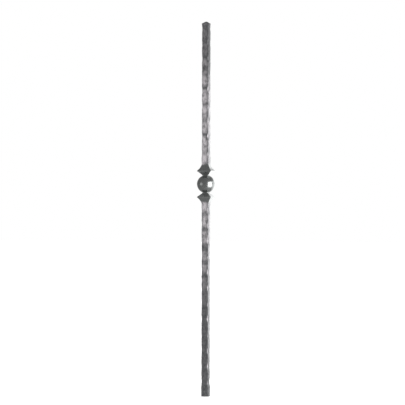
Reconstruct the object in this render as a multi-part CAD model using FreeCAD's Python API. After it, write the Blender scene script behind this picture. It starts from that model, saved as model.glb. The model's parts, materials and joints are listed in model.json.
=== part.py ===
# Hammered square iron stair baluster with one forged knuckle, worked from a single bar.
# Millimetres. The origin is the centre of the sawn foot and +Z runs up the bar.
# The bar's faces are square to X and Y.
import FreeCAD, Part
import math
import os

# Bar
bar_length = 900.0
bar_side = 16.7
corner_radius = 0.5

# Blunt four-sided crown at the head
crown_rise = 5.0
crown_flat = 3.0
crown_radius = 0.5

# Rings of hammer blows that beat back the four corners
blow_pitch = 37.5
blow_radius = 30.0
blow_depth = 2.1
foot_to_first_blow = 35.0
head_to_first_blow = 15.5
blow_to_knuckle = 14.0

# Shallow hollows that the blows leave across the faces, midway between two rings
hollow_radius = 500.0
hollow_depth = 0.25

# How far one blow differs from the next, in height and as a share of its depth
blow_drift = 2.2
blow_variation = 0.25
radians_per_ring = 2.4
radians_per_degree = 0.0145

# Knuckle: a ball between two square collars
ball_diameter = 43.5
ball_height = 510.0
collar_side = 35.0
collar_land = 1.2
collar_step = 0.4
neck_side = 13.2
neck_gap = 0.5
taper_height = 9.7
flare_height = 14.4
flare_hollow = 1.3

# Cutters stand clear of the surface by this much, and fused shapes run this far into each other
stand_off = 1.0
overlap = 2.0

sides = 4
quarter_turn = 90.0
face_angle = 0.0
corner_angle = 45.0
solid = True
ruled = True
up = FreeCAD.Vector(0, 0, 1)
centre = FreeCAD.Vector(0, 0, 0)

half_side = bar_side / 2
half_diagonal = bar_side / math.sqrt(2)
half_neck = neck_side / 2
ball_radius = ball_diameter / 2

# Heights above the ball's centre, from the neck to the end of a collar
neck_height = math.sqrt(ball_radius**2 - half_neck**2) + neck_gap
land_start = neck_height + taper_height
land_end = land_start + collar_land
knuckle_reach = land_end + flare_height


def rounded_square(side, radius, height):
    """Closed wire of a square with rounded corners, level, at a height."""
    half = side / 2
    flat = half - radius
    middle = flat + radius / math.sqrt(2)
    run_start = FreeCAD.Vector(half, -flat, height)
    run_end = FreeCAD.Vector(half, flat, height)
    corner_middle = FreeCAD.Vector(middle, middle, height)
    corner_end = FreeCAD.Vector(flat, half, height)
    edges = []
    for turn in range(sides):
        run = Part.LineSegment(run_start, run_end).toShape()
        corner = Part.Arc(run_end, corner_middle, corner_end).toShape()
        for edge in (run, corner):
            edge.rotate(centre, up, quarter_turn * turn)
            edges.append(edge)
    return Part.Wire(edges)


def plain_bar():
    """The bar before hammering, with its crown."""
    shoulder = bar_length - crown_rise
    shaft = Part.Face(rounded_square(bar_side, corner_radius, 0)).extrude(up * shoulder)
    crown_ends = [
        rounded_square(bar_side, corner_radius, shoulder),
        rounded_square(crown_flat, crown_radius, bar_length),
    ]
    crown = Part.makeLoft(crown_ends, solid, ruled)
    return shaft.fuse(crown).removeSplitter()


def hammer_face(radius, depth, surface):
    """A crowned hammer face that bites into a surface square to +X, at this distance from the axis."""
    bite = depth + stand_off
    reach = math.sqrt(2 * radius * bite - bite**2)
    outside = surface + stand_off
    low = FreeCAD.Vector(outside, -bar_side, -reach)
    deepest = FreeCAD.Vector(surface - depth, -bar_side, 0)
    high = FreeCAD.Vector(outside, -bar_side, reach)
    crowned = Part.Arc(low, deepest, high).toShape()
    back = Part.LineSegment(high, low).toShape()
    return Part.Face(Part.Wire([crowned, back])).extrude(FreeCAD.Vector(0, 2 * bar_side, 0))


def ring_of_cutters(ring, height, radius, depth, surface, first_angle):
    """Four cutters round the bar at one height, each a little different from the next."""
    cutters = []
    for side in range(sides):
        angle = first_angle + quarter_turn * side
        uneven = math.sin(radians_per_ring * ring + radians_per_degree * angle)
        cutter = hammer_face(radius, depth * (1 + blow_variation * uneven), surface)
        cutter.rotate(centre, up, angle)
        cutter.translate(up * (height + blow_drift * uneven))
        cutters.append(cutter)
    return cutters


def blow_heights():
    """Heights of the rings of blows: one run up from the foot, one run down from the head."""
    lower_room = ball_height - knuckle_reach - blow_to_knuckle - foot_to_first_blow
    upper_room = bar_length - head_to_first_blow - ball_height - knuckle_reach - blow_to_knuckle
    lower_rings = int(lower_room // blow_pitch) + 1
    upper_rings = int(upper_room // blow_pitch) + 1
    lower = [foot_to_first_blow + blow_pitch * ring for ring in range(lower_rings)]
    upper = [bar_length - head_to_first_blow - blow_pitch * ring for ring in range(upper_rings)]
    return lower, upper


def corner_blows():
    """Cutters for the scallops on the four corners."""
    cutters = []
    for run in blow_heights():
        for ring, height in enumerate(run):
            cutters += ring_of_cutters(ring, height, blow_radius, blow_depth, half_diagonal, corner_angle)
    return cutters


def face_hollows():
    """Cutters for the hollows across the four faces."""
    cutters = []
    for run in blow_heights():
        for ring, (height, next_height) in enumerate(zip(run, run[1:])):
            middle = (height + next_height) / 2
            cutters += ring_of_cutters(ring, middle, hollow_radius, hollow_depth, half_side, face_angle)
    return cutters


def knuckle_gap():
    """The length of bar that is drawn down to the ball and its necks, from collar to collar."""
    width = 2 * bar_side
    corner = FreeCAD.Vector(-bar_side, -bar_side, ball_height - land_start)
    return Part.makeBox(width, width, 2 * land_start, corner)


def hammered_bar():
    """The two hammered lengths of bar, each ending inside its collar."""
    return plain_bar().cut(corner_blows()).cut(face_hollows()).cut(knuckle_gap())


def collar_outline():
    """Face across the upper collar: a straight taper to the neck, a hollow flare on the bar side."""
    tip = collar_side / 2
    end = half_side + collar_step
    buried = half_neck - overlap
    buried_height = neck_height - overlap * taper_height / (tip - half_neck)
    chord = FreeCAD.Vector(end - tip, 0, flare_height)
    inwards = FreeCAD.Vector(-flare_height, 0, end - tip) / chord.Length
    right = [
        FreeCAD.Vector(buried, 0, buried_height),
        FreeCAD.Vector(tip, 0, land_start),
        FreeCAD.Vector(tip, 0, land_end),
        FreeCAD.Vector(tip, 0, land_end) + chord / 2 + inwards * flare_hollow,
        FreeCAD.Vector(end, 0, knuckle_reach),
    ]
    left = [FreeCAD.Vector(-point.x, 0, point.z) for point in right]
    edges = [
        Part.LineSegment(right[0], right[1]),
        Part.LineSegment(right[1], right[2]),
        Part.Arc(right[2], right[3], right[4]),
        Part.LineSegment(right[4], left[4]),
        Part.Arc(left[4], left[3], left[2]),
        Part.LineSegment(left[2], left[1]),
        Part.LineSegment(left[1], left[0]),
        Part.LineSegment(left[0], right[0]),
    ]
    return Part.Face(Part.Wire([edge.toShape() for edge in edges]))


def collar():
    """The upper collar, above the ball's centre: two crossed bars of one outline meet in mitred edges."""
    outline = collar_outline()
    outline.translate(FreeCAD.Vector(0, -collar_side, 0))
    along_y = outline.extrude(FreeCAD.Vector(0, 2 * collar_side, 0))
    along_x = along_y.copy()
    along_x.rotate(centre, up, quarter_turn)
    return along_y.common(along_x)


def knuckle():
    """The ball with a collar above it and the same collar turned over below it."""
    upper = collar()
    lower = upper.mirror(centre, up)
    forged = Part.makeSphere(ball_radius).fuse([upper, lower])
    forged.translate(up * ball_height)
    return forged


def baluster():
    return hammered_bar().fuse(knuckle()).removeSplitter()


os.makedirs("parts", exist_ok=True)
whole = baluster()
whole.exportStep("parts/baluster.step")
print("solids", len(whole.Solids), "valid", whole.isValid(), "volume", round(whole.Volume), "mm3")
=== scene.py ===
import bpy
import bmesh
import json
import math
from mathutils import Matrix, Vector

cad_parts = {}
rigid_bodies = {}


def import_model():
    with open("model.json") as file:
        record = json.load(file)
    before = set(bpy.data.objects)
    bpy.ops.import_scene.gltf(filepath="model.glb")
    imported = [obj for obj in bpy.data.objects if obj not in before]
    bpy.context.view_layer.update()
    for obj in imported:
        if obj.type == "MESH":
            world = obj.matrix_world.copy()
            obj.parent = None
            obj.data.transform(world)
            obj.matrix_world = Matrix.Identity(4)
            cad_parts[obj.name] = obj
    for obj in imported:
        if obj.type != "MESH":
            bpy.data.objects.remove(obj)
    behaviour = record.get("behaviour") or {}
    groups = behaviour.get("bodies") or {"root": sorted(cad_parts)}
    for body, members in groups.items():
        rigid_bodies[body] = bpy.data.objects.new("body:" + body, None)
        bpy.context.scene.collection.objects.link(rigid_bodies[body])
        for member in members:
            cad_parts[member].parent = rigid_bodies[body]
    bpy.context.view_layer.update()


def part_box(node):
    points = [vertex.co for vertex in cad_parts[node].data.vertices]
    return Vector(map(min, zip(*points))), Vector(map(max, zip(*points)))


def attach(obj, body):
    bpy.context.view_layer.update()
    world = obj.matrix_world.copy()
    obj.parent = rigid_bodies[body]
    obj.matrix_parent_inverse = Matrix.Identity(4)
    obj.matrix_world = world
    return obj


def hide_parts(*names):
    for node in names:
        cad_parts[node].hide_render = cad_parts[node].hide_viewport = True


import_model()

# Hammered square iron stair baluster with one forged knuckle, in the studio of the photograph, in metres

# The CAD box, before anything is dressed
low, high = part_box("baluster")

# Bar
bar_length = high.z - low.z
bar_side = 0.0167
half_side = bar_side / 2
half_diagonal = bar_side / math.sqrt(2)
corner_radius = 0.0005
corner_segments = 3

# Blunt crown at the head
crown_rise = 0.005
crown_flat = 0.003

# Rings of hammer blows on the corners
blow_pitch = 0.0375
blow_radius = 0.030
blow_depth = 0.0021
blow_width = 0.012
foot_to_first_blow = 0.035
head_to_first_blow = 0.0155
blow_to_knuckle = 0.014

# Hollows across the faces, between two rings
hollow_radius = 0.500
hollow_depth = 0.00025
hollow_width = 0.018

# How far one blow differs from the next
blow_drift = 0.0022
blow_variation = 0.25
radians_per_ring = 2.4
radians_per_degree = 0.0145

# Knuckle: a ball between two square collars
ball_radius = high.y
ball_height = 0.510
collar_side = 0.035
collar_land = 0.0012
collar_step = 0.0004
neck_side = 0.0132
neck_gap = 0.0005
taper_height = 0.0097
flare_height = 0.0144
flare_hollow = 0.0013
flare_steps = 8
overlap = 0.002
ball_segments = 96
ball_rings = 48

# Heights above the ball's centre
half_neck = neck_side / 2
neck_height = math.sqrt(ball_radius**2 - half_neck**2) + neck_gap
land_start = neck_height + taper_height
land_end = land_start + collar_land
knuckle_reach = land_end + flare_height

# Forged skin: remeshing and smoothing, the metal left on for them, and the facets of the two hammers
skin_voxel = 0.00094
skin_smoothing = 1
smoothing_share = 0.5
skin_allowance = 0.0002
corner_facet = 0.002
hollow_facet = 0.004

# Uneven skin: sizes and depths of the forging and of the dents, and the grey that leaves the skin in place
forging_size = 0.014
forging_detail = 2
forging_depth = 0.0010
dent_size = 0.009
dent_depth = 0.0005
skin_level = 0.35

# How much of it the knuckle gets, and the height over which it sets in above the foot
knuckle_work = 0.10
foot_fade = 0.02

# View of the photograph, in degrees and metres, and the sensor in millimetres
view_azimuth = 17.5
view_distance = 8.0
view_height = 0.4657
view_left = 0.0083
view_width = 0.9724
view_roll = -0.13
sensor_width = 36.0

# Studio lamps: azimuth round the bar, distance from its axis, height of the middle, size and radiance
key_lamp = {
    "azimuth": view_azimuth + 50.0,
    "distance": 0.6,
    "height": 0.41,
    "width": 0.70,
    "tall": 0.80,
    "radiance": 2.2,
}
near_key_lamp = {
    "azimuth": view_azimuth + 49.0,
    "distance": 0.07,
    "height": ball_height - 0.004,
    "width": 0.062,
    "tall": 0.068,
    "radiance": 4.0,
}
fill_lamp = {
    "azimuth": view_azimuth - 64.0,
    "distance": 1.0,
    "height": ball_height,
    "width": 0.6,
    "tall": 0.5,
    "radiance": 1.2,
}
rim_lamp = {
    "azimuth": 147.0,
    "distance": 0.7,
    "height": 0.395,
    "width": 1.02,
    "tall": 0.75,
    "radiance": 1.5,
}

# Levels of the room, as the metal mirrors it and as soft light
room_level = 0.385
ambient_level = 1.12

# White backdrop that the metal mirrors: where it lies, and the soft edges of its width and of its height
backdrop_azimuth = 135.0
backdrop_edge = 0.45
backdrop_white = 0.65
backdrop_top_white = 0.32
backdrop_top_edge = 0.52

# Pale floor, which the metal mirrors white only far out towards the backdrop
floor_size = 60.0
floor_colour = (0.4, 0.4, 0.4, 1)
floor_roughness = 0.9
floor_glow = 0.85
floor_dark_until = 0.6
floor_white_from = 1.5
white = (1, 1, 1, 1)

# Burnish of the faces: pairs of height and level. On the face towards +X it is rubbed metal and partly
# painted light from the right
right_face_rub_and_light = (
    (0.03, 0.0),
    (0.07, 0.05),
    (0.28, 0.15),
    (0.32, 0.4),
    (0.42, 0.4),
    (0.46, 0.25),
    (0.56, 0.25),
    (0.61, 0.45),
    (0.70, 0.55),
    (0.74, 0.55),
    (0.77, 0.2),
    (0.80, 0.0),
)
back_face_burnish = ((0.16, 0.1), (0.24, 0.4), (0.34, 0.55), (0.68, 0.55), (0.78, 0.1))
left_face_burnish = ((0.08, 0.1), (0.18, 0.5), (0.30, 0.9), (0.72, 0.9), (0.82, 0.1))
front_face_burnish = (
    (0.20, 0.06),
    (0.27, 0.25),
    (0.31, 0.6),
    (0.38, 0.8),
    (0.45, 0.9),
    (0.67, 1.0),
    (0.74, 0.9),
    (0.80, 0.5),
    (0.83, 0.2),
)
# In the order of their faces: +X, +Y, -X, -Y
# The face towards +X carries painted light from the right as well as its rubbing
rub_and_light_by_face = (right_face_rub_and_light, back_face_burnish, left_face_burnish, front_face_burnish)

# Burnish of the beaten corners: pairs of height and level. On the corner between -X and -Y and on the one
# between +X and -Y it is a painted highlight on the beaten facets
hidden_corner_burnish = ((0.0, 0.3),)
# Painted highlight on the facets of the corner between -X and -Y
left_corner_highlight = ((0.40, 0.0), (0.43, 0.6), (0.56, 0.8), (0.78, 0.8), (0.82, 0.0))
# Painted highlight on the facets of the corner between +X and -Y
near_corner_highlight = (
    (0.02, 0.9),
    (0.07, 0.8),
    (0.26, 0.7),
    (0.30, 0.4),
    (0.42, 0.4),
    (0.46, 0.1),
    (0.55, 0.3),
    (0.58, 1.0),
    (0.74, 1.0),
    (0.80, 0.4),
    (0.83, 0.0),
)
# In the order of the corners, round from the one between +X and +Y to the one between -Y and +X
rub_and_highlight_by_corner = (hidden_corner_burnish, hidden_corner_burnish, left_corner_highlight, near_corner_highlight)

# Depths below the face between which a place counts as a beaten corner
beaten_start = 0.0005
beaten_end = 0.0010

# Broad patches of painted shade on the face towards -Y: height, half height and depth, and how sharply they
# end
shade_patches = ((0.294, 0.006, 0.6), (0.321, 0.006, 0.7), (0.355, 0.008, 0.9), (0.786, 0.007, 0.75))
patch_sharpness = 4

# Painted shade: a dark band beside each ring of blows
band_above = 0.004
band_below = 0.010
band_half = 0.0062
band_strength = 0.68
band_variation = 0.4

# How the burnish falls off from the middle of a face to its corners. At the corner near the camera it falls
# off most, as a painted shade line along it
edge_start = 0.0032
edge_end = 0.0066
edge_strength = 0.3
near_edge_shade_start = 0.0
near_edge_shade = 0.6

# Half width of the blend from one face to the next, and the steps at which the levels are worked out
face_blend = 0.001
height_steps_per_metre = 1000

# Colours of the oxide on the bar and on the knuckle, of the paler painted light in the knuckle's necks, and
# of the rubbed metal
bar_oxide_dark = (0.078, 0.081, 0.086, 1)
bar_oxide_light = (0.155, 0.157, 0.162, 1)
knuckle_oxide_dark = (0.182, 0.190, 0.188, 1)
knuckle_oxide_light = (0.212, 0.219, 0.217, 1)
neck_painted_fill = (0.31, 0.319, 0.317, 1)
bright_warm = (0.68, 0.627, 0.655, 1)
bright_cool = (0.53, 0.516, 0.535, 1)

# Finish of oxide and of rubbed metal, and what the knuckle adds to it
oxide_metallic = 0.65
bright_metallic = 0.45
knuckle_metallic_gain = 0.25
oxide_roughness = 0.42
bright_roughness = 0.36
roughness_spread = 0.05
knuckle_roughness_gain = -0.20

# Noises of the skin: scale, detail and roughness
blotch_noise = (115, 4, 0.6)
tint_noise = (60, 2, 0.5)
grain_noise = (420, 3, 0.6)
mark_noise = (230, 3, 0.65)
flake_noise = (1100, 3, 0.65)
skin_stretch = (1, 1, 0.6)

# Ramps of the scale marks and of the rubbed patches, and the span of the blotches
mark_stops = ((0.36, 0), (0.64, 1))
patch_stops = ((0.36, 0.28), (0.54, 1.0))
blotch_low = 0.3
blotch_high = 0.7

# Smooth skin of the knuckle: its reach below and above the ball's centre, its soft edge and its slant
smooth_below = 0.0425
smooth_above = 0.0455
smooth_edge = 0.002
smooth_slant = -3.0
off_knuckle_stops = (
    (ball_height - smooth_below - smooth_edge, 1),
    (ball_height - smooth_below, 0),
    (ball_height + smooth_above, 0),
    (ball_height + smooth_above + smooth_edge, 1),
)

# Paler necks below and above the ball, painted light against the shade there: pairs of distance from its
# centre and level
neck_levels = ((0.020, 0), (0.022, 1), (0.030, 1), (0.033, 0))
lower_neck_stops = [(ball_height - distance, level) for distance, level in reversed(neck_levels)]
upper_neck_stops = [(ball_height + distance, level) for distance, level in neck_levels]

# Fine relief of the skin
flake_share = 0.4
knuckle_relief = 0.10
bar_relief = 0.35
relief_depth = 0.0003

# Four sides, in degrees round the bar
sides = 4
quarter_turn = 90.0
face_angle = 0.0
corner_angle = 45.0

# A face looks up or down when its normal is at least this upright
level_normal = 0.9


def clear_selection():
    bpy.ops.object.select_all(action="DESELECT")


def pick_faces(piece, wanted):
    """In edit mode, select only the faces whose middle and normal pass the test."""
    bpy.ops.mesh.select_mode(type="FACE")
    bpy.ops.mesh.select_all(action="DESELECT")
    shape = bmesh.from_edit_mesh(piece.data)
    for face in shape.faces:
        face.select_set(wanted(face.calc_center_median(), face.normal))
    bmesh.update_edit_mesh(piece.data)


def pick_upright_edges(piece):
    """In edit mode, select only the edges that run along the bar."""
    bpy.ops.mesh.select_mode(type="EDGE")
    bpy.ops.mesh.select_all(action="DESELECT")
    shape = bmesh.from_edit_mesh(piece.data)
    for edge in shape.edges:
        rise = abs(edge.verts[0].co.z - edge.verts[1].co.z)
        edge.select_set(rise > half_side)
    bmesh.update_edit_mesh(piece.data)


def faces_up(middle, normal):
    return normal.z > level_normal


def faces_down(middle, normal):
    return normal.z < -level_normal


def settle(piece):
    """Put the place, turn and scale of a piece into its mesh."""
    clear_selection()
    piece.select_set(True)
    bpy.context.view_layer.objects.active = piece
    bpy.ops.object.transform_apply(location=True, rotation=True, scale=True)


def apply_modifier(piece, kind, **settings):
    """Add a modifier with these settings and apply it."""
    clear_selection()
    piece.select_set(True)
    bpy.context.view_layer.objects.active = piece
    bpy.ops.object.modifier_add(type=kind)
    modifier = piece.modifiers[-1]
    for setting, value in settings.items():
        setattr(modifier, setting, value)
    bpy.ops.object.modifier_apply(modifier=modifier.name)


def make_plain_bar():
    """The square bar with rounded corners and a crowned head."""
    clear_selection()
    shaft = bar_length - crown_rise
    side = bar_side + 2 * skin_allowance
    bpy.ops.mesh.primitive_cube_add(size=1, location=(0, 0, shaft / 2), scale=(side, side, shaft))
    bar = bpy.context.object
    bar.name = "baluster_forged"
    settle(bar)
    bpy.ops.object.mode_set(mode="EDIT")
    pick_upright_edges(bar)
    bpy.ops.mesh.bevel(offset=corner_radius, segments=corner_segments, affect="EDGES")
    pick_faces(bar, faces_up)
    bpy.ops.mesh.extrude_region_move(TRANSFORM_OT_translate={"value": (0, 0, crown_rise)})
    narrowing = crown_flat / bar_side
    bpy.ops.transform.resize(value=(narrowing, narrowing, 1), center_override=(0, 0, bar_length))
    bpy.ops.object.mode_set(mode="OBJECT")
    return bar


def open_knuckle(bar):
    """Take the bar out between the two collars, where the ball and the necks come."""
    clear_selection()
    gap_size = (2 * bar_side, 2 * bar_side, 2 * land_start)
    bpy.ops.mesh.primitive_cube_add(size=1, location=(0, 0, ball_height), scale=gap_size)
    gap = bpy.context.object
    settle(gap)
    apply_modifier(bar, "BOOLEAN", operation="DIFFERENCE", solver="EXACT", object=gap)
    bpy.data.objects.remove(gap)


def make_hammer(name, radius, depth, width, facet):
    """A slice of a drum: a crowned hammer face, its deepest line at the origin, opening towards +X."""
    clear_selection()
    bpy.ops.mesh.primitive_cylinder_add(
        vertices=int(math.tau * radius / facet),
        radius=radius,
        depth=width,
        location=(radius, 0, 0),
        rotation=(math.radians(quarter_turn), 0, 0),
    )
    hammer = bpy.context.object
    hammer.name = name
    settle(hammer)
    bpy.ops.object.mode_set(mode="EDIT")
    bpy.ops.mesh.select_all(action="SELECT")
    bpy.ops.mesh.bisect(
        plane_co=(2 * depth + corner_radius, 0, 0),
        plane_no=(1, 0, 0),
        use_fill=True,
        clear_outer=True,
    )
    bpy.ops.object.mode_set(mode="OBJECT")
    return hammer


def blow_heights():
    """Heights of the rings of blows: one run up from the foot, one run down from the head."""
    lower_room = ball_height - knuckle_reach - blow_to_knuckle - foot_to_first_blow
    upper_room = bar_length - head_to_first_blow - ball_height - knuckle_reach - blow_to_knuckle
    lower_rings = int(lower_room // blow_pitch) + 1
    upper_rings = int(upper_room // blow_pitch) + 1
    lower = [foot_to_first_blow + blow_pitch * ring for ring in range(lower_rings)]
    upper = [bar_length - head_to_first_blow - blow_pitch * ring for ring in range(upper_rings)]
    return lower, upper


def strike(hammer, blows, ring, height, depth, surface, angle):
    """Copy the hammer to one place on the bar, a little different from the next."""
    uneven = math.sin(radians_per_ring * ring + radians_per_degree * angle)
    distance = surface - depth * (1 + blow_variation * uneven)
    turn = math.radians(angle)
    copy = hammer.copy()
    copy.data = hammer.data.copy()
    copy.location = (distance * math.cos(turn), distance * math.sin(turn), height + blow_drift * uneven)
    copy.rotation_euler = (0, 0, turn)
    blows.objects.link(copy)


def hammer_out(bar, hammer, rings, depth, surface, angles):
    """One pass of hammering at these rings and angles, where no two hammers touch."""
    blows = bpy.data.collections.new("blows")
    bpy.context.scene.collection.children.link(blows)
    for ring, height in rings:
        for angle in angles:
            strike(hammer, blows, ring, height, depth, surface, angle)
    apply_modifier(
        bar,
        "BOOLEAN",
        operation="DIFFERENCE",
        solver="EXACT",
        operand_type="COLLECTION",
        collection=blows,
    )
    for copy in list(blows.objects):
        bpy.data.objects.remove(copy)
    bpy.data.collections.remove(blows)


def hammer_corners(bar):
    """Beat back the four corners in rings."""
    hammer = make_hammer("corner_hammer", blow_radius, blow_depth, blow_width, corner_facet)
    angles = [corner_angle + quarter_turn * side for side in range(sides)]
    rings = [blow for run in blow_heights() for blow in enumerate(run)]
    hammer_out(bar, hammer, rings, blow_depth, half_diagonal, angles)
    bpy.data.objects.remove(hammer)


def hammer_faces(bar):
    """Leave the shallow hollows across the faces, every other ring and every other face in one pass."""
    hammer = make_hammer("face_hammer", hollow_radius, hollow_depth, hollow_width, hollow_facet)
    angles = [face_angle + quarter_turn * side for side in range(sides)]
    rings = []
    for run in blow_heights():
        middles = [(height + next_height) / 2 for height, next_height in zip(run, run[1:])]
        rings += enumerate(middles)
    for first_ring in (0, 1):
        every_other = [blow for blow in rings if blow[0] % 2 == first_ring]
        for first_side in (0, 1):
            hammer_out(bar, hammer, every_other, hollow_depth, half_side, angles[first_side::2])
    bpy.data.objects.remove(hammer)


def flare_half_widths():
    """Half widths of the collar's hollow flare at even steps of height, from the land to the bar."""
    tip = collar_side / 2
    end = half_side + collar_step
    chord = math.hypot(end - tip, flare_height)
    radius = (chord**2 / 4 + flare_hollow**2) / (2 * flare_hollow)
    outwards = (flare_height / chord, (tip - end) / chord)
    to_centre = radius - flare_hollow
    centre_x = (tip + end) / 2 + outwards[0] * to_centre
    centre_z = flare_height / 2 + outwards[1] * to_centre
    heights = [flare_height * step / flare_steps for step in range(1, flare_steps + 1)]
    return [centre_x - math.sqrt(radius**2 - (height - centre_z) ** 2) for height in heights]


def draw_out(rise, narrowing, height):
    """Extrude the picked end of a collar and draw it in or out."""
    bpy.ops.mesh.extrude_region_move(TRANSFORM_OT_translate={"value": (0, 0, rise)})
    bpy.ops.transform.resize(value=(narrowing, narrowing, 1), center_override=(0, 0, height))


def make_upper_collar():
    """A square collar: a straight taper down to the ball and a hollow flare up to the bar."""
    clear_selection()
    land_middle = ball_height + (land_start + land_end) / 2
    bpy.ops.mesh.primitive_cube_add(
        size=1, location=(0, 0, land_middle), scale=(collar_side, collar_side, collar_land)
    )
    collar = bpy.context.object
    collar.name = "upper_collar"
    settle(collar)
    bpy.ops.object.mode_set(mode="EDIT")
    tip = collar_side / 2
    buried = half_neck - overlap
    buried_drop = taper_height * (tip - buried) / (tip - half_neck)
    pick_faces(collar, faces_down)
    draw_out(-buried_drop, buried / tip, ball_height + land_start - buried_drop)
    pick_faces(collar, faces_up)
    width = tip
    for step, next_width in enumerate(flare_half_widths()):
        rise = flare_height / flare_steps
        draw_out(rise, next_width / width, ball_height + land_end + rise * (step + 1))
        width = next_width
    bpy.ops.object.mode_set(mode="OBJECT")
    return collar


def make_lower_collar(upper):
    """The upper collar turned over below the ball."""
    lower = upper.copy()
    lower.data = upper.data.copy()
    lower.name = "lower_collar"
    bpy.context.scene.collection.objects.link(lower)
    clear_selection()
    lower.select_set(True)
    bpy.context.view_layer.objects.active = lower
    bpy.ops.object.mode_set(mode="EDIT")
    bpy.ops.mesh.select_all(action="SELECT")
    bpy.ops.transform.resize(value=(1, 1, -1), center_override=(0, 0, ball_height))
    bpy.ops.mesh.normals_make_consistent(inside=False)
    bpy.ops.object.mode_set(mode="OBJECT")
    return lower


def make_ball():
    clear_selection()
    bpy.ops.mesh.primitive_uv_sphere_add(
        segments=ball_segments, ring_count=ball_rings, radius=ball_radius, location=(0, 0, ball_height)
    )
    ball = bpy.context.object
    ball.name = "knuckle_ball"
    settle(ball)
    return ball


def forge(bar, *knuckle):
    """Forge the knuckle and the bar into one skin."""
    clear_selection()
    for piece in knuckle:
        piece.select_set(True)
    bar.select_set(True)
    bpy.context.view_layer.objects.active = bar
    bpy.ops.object.join()
    apply_modifier(bar, "REMESH", mode="VOXEL", voxel_size=skin_voxel, adaptivity=0.0)
    apply_modifier(bar, "SMOOTH", factor=smoothing_share, iterations=skin_smoothing)


def fade(value, start, end):
    """Nought before start, one after end, smooth between."""
    share = min(max((value - start) / (end - start), 0.0), 1.0)
    return share * share * (3 - 2 * share)


def mark_hammered(bar):
    """How far the hammer has worked each place: fully on the bar, less on the knuckle, not at the ends."""
    group = bar.vertex_groups.new(name="hammered")
    for vertex in bar.data.vertices:
        height = vertex.co.z
        off_knuckle = fade(abs(height - ball_height), knuckle_reach, knuckle_reach + half_side)
        off_foot = fade(height, 0.0, foot_fade)
        off_head = 1 - fade(height, bar_length - crown_rise, bar_length)
        worked = (knuckle_work + (1 - knuckle_work) * off_knuckle) * off_foot * off_head
        group.add([vertex.index], worked, "REPLACE")


def uneven_skin(bar):
    """Uneven forging and small dents, in the mesh itself."""
    mark_hammered(bar)
    forging = bpy.data.textures.new("forging", "CLOUDS")
    forging.noise_scale = forging_size
    forging.noise_depth = forging_detail
    dents = bpy.data.textures.new("dents", "VORONOI")
    dents.noise_scale = dent_size
    for texture, depth in ((forging, forging_depth), (dents, dent_depth)):
        apply_modifier(
            bar,
            "DISPLACE",
            texture=texture,
            texture_coords="LOCAL",
            strength=depth,
            mid_level=skin_level,
            vertex_group="hammered",
        )
    clear_selection()
    bar.select_set(True)
    bpy.ops.object.shade_smooth()


def level_at(height, stops):
    """Level at a height, even between the stops and constant past them."""
    if height <= stops[0][0]:
        return stops[0][1]
    for (start, first), (end, last) in zip(stops, stops[1:]):
        if height <= end:
            return first + (last - first) * (height - start) / (end - start)
    return stops[-1][1]


def painted_shade_at(height, side):
    """How dark the painted shade is at this height on one face: the band beside the nearest ring of blows,
    and on the face towards -Y the patches.
    """
    darkest = 0.0
    lower, upper = blow_heights()
    for run, offset in ((lower, -band_below), (upper, band_above)):
        for ring, ring_height in enumerate(run):
            uneven = math.sin(radians_per_ring * ring + radians_per_degree * quarter_turn * side)
            away = (height - ring_height - offset - blow_drift * uneven) / band_half
            depth = band_strength * (1 + band_variation * uneven)
            darkest = max(darkest, depth * math.exp(-away * away))
    # On the face towards -Y, the patches of painted shade as well
    if side == sides - 1:
        for patch_height, half_height, depth in shade_patches:
            away = (height - patch_height) / half_height
            darkest = max(darkest, depth * math.exp(-away**patch_sharpness))
    return min(darkest, 1.0)


def rub_and_light_by_height():
    """Levels of the four faces, darkened by the painted shade, and of the four corners with their painted
    highlights, at even steps of height.
    """
    last_step = int(bar_length * height_steps_per_metre) + 1
    heights = [step / height_steps_per_metre for step in range(last_step + 1)]
    faces = []
    for side, stops in enumerate(rub_and_light_by_face):
        # The painted shade darkens each face
        faces.append([level_at(height, stops) * (1 - painted_shade_at(height, side)) for height in heights])
    corners = [[level_at(height, stops) for height in heights] for stops in rub_and_highlight_by_corner]
    return list(zip(*faces)), list(zip(*corners))


def rub_and_light_at(x, y, faces, corners):
    """How bright one place across the bar is, from rubbing and from painted light and shade, by the levels
    of the faces and corners there.
    """
    right, back, left, front = faces
    along_x = right if x > 0 else left
    along_y = back if y > 0 else front
    share = fade(abs(x) - abs(y), -face_blend, face_blend)
    off_middle = min(abs(x), abs(y))
    by_edge = edge_strength * fade(off_middle, edge_start, edge_end)
    # Along the corner between +X and -Y it falls off more: a painted shade line
    if x > 0 > y:
        by_edge = near_edge_shade * fade(off_middle, near_edge_shade_start, edge_end)
    on_face = (along_y + (along_x - along_y) * share) * (1 - by_edge)
    corner = int(math.degrees(math.atan2(y, x)) // quarter_turn) % sides
    beaten = fade(half_side - max(abs(x), abs(y)), beaten_start, beaten_end)
    return on_face + (corners[corner] - on_face) * beaten


def mark_rub_and_light(bar):
    """Keep on the mesh how bright each place is from rubbing and from painted light and shade, for the
    material.
    """
    faces, corners = rub_and_light_by_height()
    levels = []
    for vertex in bar.data.vertices:
        x, y, z = vertex.co
        step = min(max(int(z * height_steps_per_metre), 0), len(faces) - 1)
        levels.append(rub_and_light_at(x, y, faces[step], corners[step]))
    attribute = bar.data.attributes.new("rub_and_light", "FLOAT", "POINT")
    attribute.data.foreach_set("value", levels)


def make_baluster():
    bar = make_plain_bar()
    hammer_corners(bar)
    hammer_faces(bar)
    open_knuckle(bar)
    upper = make_upper_collar()
    lower = make_lower_collar(upper)
    ball = make_ball()
    forge(bar, upper, lower, ball)
    uneven_skin(bar)
    mark_rub_and_light(bar)
    return bar


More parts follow.
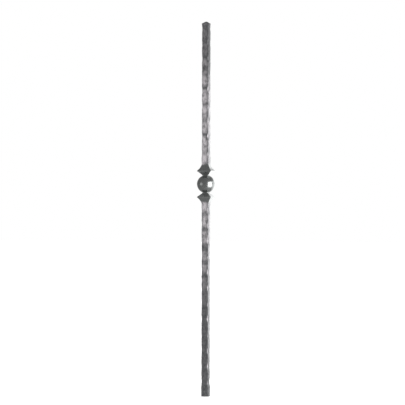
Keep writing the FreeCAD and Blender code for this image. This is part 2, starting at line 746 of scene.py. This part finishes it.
def place(tree, kind, inputs, **settings):
    """Add a node, set its options, and set each input to a constant or link it to an output."""
    made = tree.nodes.new(kind)
    for setting, value in settings.items():
        setattr(made, setting, value)
    for socket, value in inputs.items():
        if isinstance(value, bpy.types.NodeSocket):
            tree.links.new(value, made.inputs[socket])
        else:
            made.inputs[socket].default_value = value
    return made


def math_node(tree, operation, *values, clamp=False):
    inputs = dict(enumerate(values))
    return place(tree, "ShaderNodeMath", inputs, operation=operation, use_clamp=clamp).outputs[0]


def range_node(tree, value, start, end, first, last):
    """Level first at start, level last at end, even between."""
    inputs = {"Value": value, "From Min": start, "From Max": end, "To Min": first, "To Max": last}
    return place(tree, "ShaderNodeMapRange", inputs).outputs["Result"]


def ramp_node(tree, factor, stops):
    """A grey ramp through these positions and levels."""
    made = place(tree, "ShaderNodeValToRGB", {"Fac": factor})
    elements = made.color_ramp.elements
    while len(elements) < len(stops):
        elements.new(1.0)
    for element, (position, level) in zip(elements, stops):
        element.position = position
        element.color = (level, level, level, 1)
    return made.outputs["Color"]


def noise_node(tree, vector, scale, detail, roughness):
    inputs = {"Vector": vector, "Scale": scale, "Detail": detail, "Roughness": roughness}
    return place(tree, "ShaderNodeTexNoise", inputs).outputs["Fac"]


def blend_colours(tree, factor, first, second):
    """A Mix node set to colour keeps its colour sockets at these places."""
    inputs = {0: factor, 6: first, 7: second}
    return place(tree, "ShaderNodeMix", inputs, data_type="RGBA").outputs[2]


def forged_iron():
    """Dark scale, worn bright by rubbing in patches on the bar, smooth and dark on the knuckle; with
    painted highlights and painted shade on the bar and paler painted light in the necks.
    """
    material = bpy.data.materials.new("forged_iron_skin")
    material.use_nodes = True
    tree = material.node_tree
    tree.nodes.clear()
    coords = place(tree, "ShaderNodeTexCoord", {}).outputs["Object"]
    axes = place(tree, "ShaderNodeSeparateXYZ", {"Vector": coords}).outputs
    height = axes["Z"]
    stretch_inputs = {"Vector": coords, "Scale": skin_stretch}
    stretched = place(tree, "ShaderNodeMapping", stretch_inputs).outputs["Vector"]
    blotches = noise_node(tree, stretched, *blotch_noise)
    tint = noise_node(tree, stretched, *tint_noise)
    grain = noise_node(tree, coords, *grain_noise)
    scale_marks = ramp_node(tree, noise_node(tree, stretched, *mark_noise), mark_stops)
    scale_flakes = noise_node(tree, coords, *flake_noise)

    # Where the bar is worn bright by rubbing, with its painted highlights and painted shade
    # This level holds rubbing together with painted highlights and painted shade
    rub_and_light_level = place(tree, "ShaderNodeAttribute", {}, attribute_name="rub_and_light").outputs["Fac"]
    above_ball = math_node(tree, "SUBTRACT", height, ball_height)
    slant = math_node(tree, "MULTIPLY", above_ball, axes["X"])
    slanted_height = math_node(tree, "MULTIPLY_ADD", slant, smooth_slant, height)
    off_knuckle = ramp_node(tree, slanted_height, off_knuckle_stops)
    in_patches = ramp_node(tree, blotches, patch_stops)
    on_bar = math_node(tree, "MULTIPLY", rub_and_light_level, off_knuckle)
    rub_and_light = math_node(tree, "MULTIPLY", on_bar, in_patches, clamp=True)

    # Colour
    bar_oxide = blend_colours(tree, scale_marks, bar_oxide_dark, bar_oxide_light)
    smooth_oxide = blend_colours(tree, grain, knuckle_oxide_dark, knuckle_oxide_light)
    # Paler necks: painted light against the shade between the ball and the collars
    in_necks = ramp_node(tree, height, lower_neck_stops + upper_neck_stops)
    knuckle_oxide_and_fill = blend_colours(tree, in_necks, smooth_oxide, neck_painted_fill)
    oxide_and_neck_fill = blend_colours(tree, off_knuckle, knuckle_oxide_and_fill, bar_oxide)
    bright = blend_colours(tree, tint, bright_warm, bright_cool)
    colour = blend_colours(tree, rub_and_light, oxide_and_neck_fill, bright)

    # Finish
    metal_on_bar = range_node(tree, rub_and_light, 0.0, 1.0, oxide_metallic, bright_metallic)
    more_metal = range_node(tree, off_knuckle, 0.0, 1.0, knuckle_metallic_gain, 0.0)
    metallic = math_node(tree, "ADD", metal_on_bar, more_metal)
    bar_roughness = range_node(tree, rub_and_light, 0.0, 1.0, oxide_roughness, bright_roughness)
    patchy = range_node(tree, blotches, blotch_low, blotch_high, -roughness_spread, roughness_spread)
    uneven_roughness = math_node(tree, "ADD", bar_roughness, patchy)
    smoother = range_node(tree, off_knuckle, 0.0, 1.0, knuckle_roughness_gain, 0.0)
    roughness = math_node(tree, "ADD", uneven_roughness, smoother)

    # Fine relief
    relief = math_node(tree, "MULTIPLY_ADD", scale_flakes, flake_share, grain)
    relief_strength = range_node(tree, off_knuckle, 0.0, 1.0, knuckle_relief, bar_relief)
    bump_inputs = {"Strength": relief_strength, "Distance": relief_depth, "Height": relief}
    bump = place(tree, "ShaderNodeBump", bump_inputs).outputs["Normal"]
    skin_inputs = {"Base Color": colour, "Metallic": metallic, "Roughness": roughness, "Normal": bump}
    skin = place(tree, "ShaderNodeBsdfPrincipled", skin_inputs).outputs["BSDF"]
    place(tree, "ShaderNodeOutputMaterial", {"Surface": skin})
    return material


def make_camera():
    """A level camera, far off, so that the bar's edges stay parallel."""
    turn = math.radians(view_azimuth)
    data = bpy.data.cameras.new("view")
    data.sensor_width = sensor_width
    data.lens = sensor_width * view_distance / view_width
    camera = bpy.data.objects.new("view", data)
    across = view_distance * math.sin(turn) - view_left * math.cos(turn)
    along = -view_distance * math.cos(turn) - view_left * math.sin(turn)
    camera.location = (across, along, view_height)
    level = math.radians(quarter_turn)
    camera.rotation_euler = (level, math.radians(view_roll), turn)
    bpy.context.scene.collection.objects.link(camera)
    bpy.context.scene.camera = camera


def make_softbox(name, azimuth, distance, height, width, tall, radiance):
    """A rectangular lamp that faces the bar from this side, not seen by the camera itself."""
    data = bpy.data.lights.new(name, "AREA")
    data.shape = "RECTANGLE"
    data.size = width
    data.size_y = tall
    data.energy = radiance * math.pi * width * tall
    turn = math.radians(azimuth)
    lamp = bpy.data.objects.new(name, data)
    lamp.location = (distance * math.sin(turn), -distance * math.cos(turn), height)
    lamp.rotation_euler = (math.radians(quarter_turn), 0, turn)
    lamp.visible_camera = False
    bpy.context.scene.collection.objects.link(lamp)


def towards_backdrop(tree, vector):
    """How far a direction or a place lies towards the backdrop."""
    turn = math.radians(backdrop_azimuth)
    inputs = {0: vector, 1: (math.sin(turn), -math.cos(turn), 0)}
    return place(tree, "ShaderNodeVectorMath", inputs, operation="DOT_PRODUCT").outputs["Value"]


def shown_white(tree, path, share):
    """One to the camera's own rays, this share to rays that the metal sends on, nought to the rest."""
    mirrored = math_node(tree, "MAXIMUM", path["Is Glossy Ray"], path["Is Transmission Ray"])
    in_metal = math_node(tree, "MULTIPLY", mirrored, share)
    return math_node(tree, "MAXIMUM", path["Is Camera Ray"], in_metal)


def light_studio():
    """White to the camera. The metal mirrors an even room, with a white backdrop behind it to the right."""
    world = bpy.data.worlds.new("studio")
    world.use_nodes = True
    tree = world.node_tree
    tree.nodes.clear()
    direction = place(tree, "ShaderNodeTexCoord", {}).outputs["Generated"]
    facing = towards_backdrop(tree, direction)
    in_width = range_node(tree, facing, backdrop_edge, backdrop_white, 0.0, 1.0)
    rise = place(tree, "ShaderNodeSeparateXYZ", {"Vector": direction}).outputs["Z"]
    steepness = math_node(tree, "ABSOLUTE", rise)
    in_height = range_node(tree, steepness, backdrop_top_white, backdrop_top_edge, 1.0, 0.0)
    on_backdrop = math_node(tree, "MULTIPLY", in_width, in_height)
    path = place(tree, "ShaderNodeLightPath", {}).outputs
    seen = shown_white(tree, path, on_backdrop)
    unseen = range_node(tree, path["Is Diffuse Ray"], 0.0, 1.0, room_level, ambient_level)
    level = range_node(tree, seen, 0.0, 1.0, unseen, 1.0)
    background = place(tree, "ShaderNodeBackground", {"Color": white, "Strength": level})
    place(tree, "ShaderNodeOutputWorld", {"Surface": background.outputs["Background"]})
    bpy.context.scene.world = world


def pale_floor():
    """A pale floor that runs into the white background and keeps the shadow."""
    material = bpy.data.materials.new("pale_floor")
    material.use_nodes = True
    tree = material.node_tree
    tree.nodes.clear()
    coords = place(tree, "ShaderNodeTexCoord", {}).outputs["Object"]
    distance = towards_backdrop(tree, coords)
    far_back = range_node(tree, distance, floor_dark_until, floor_white_from, 0.0, 1.0)
    path = place(tree, "ShaderNodeLightPath", {}).outputs
    glow_level = math_node(tree, "MULTIPLY", shown_white(tree, path, far_back), floor_glow)
    paint_inputs = {
        "Base Color": floor_colour,
        "Roughness": floor_roughness,
        "Specular IOR Level": 0.0,
        "Emission Color": white,
        "Emission Strength": glow_level,
    }
    paint = place(tree, "ShaderNodeBsdfPrincipled", paint_inputs).outputs["BSDF"]
    place(tree, "ShaderNodeOutputMaterial", {"Surface": paint})
    return material


def make_floor():
    clear_selection()
    bpy.ops.mesh.primitive_plane_add(size=floor_size, location=(0, 0, 0))
    floor = bpy.context.object
    floor.name = "floor"
    floor.data.materials.append(pale_floor())


# View and studio
make_camera()
light_studio()
make_softbox("key", **key_lamp)
make_softbox("near_key", **near_key_lamp)
make_softbox("fill", **fill_lamp)
make_softbox("rim", **rim_lamp)
make_floor()

# The baluster, in place of its CAD node
baluster = make_baluster()
baluster.data.materials.append(forged_iron())
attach(baluster, "root")
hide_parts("baluster")

bpy.context.scene.view_settings.view_transform = "Standard"
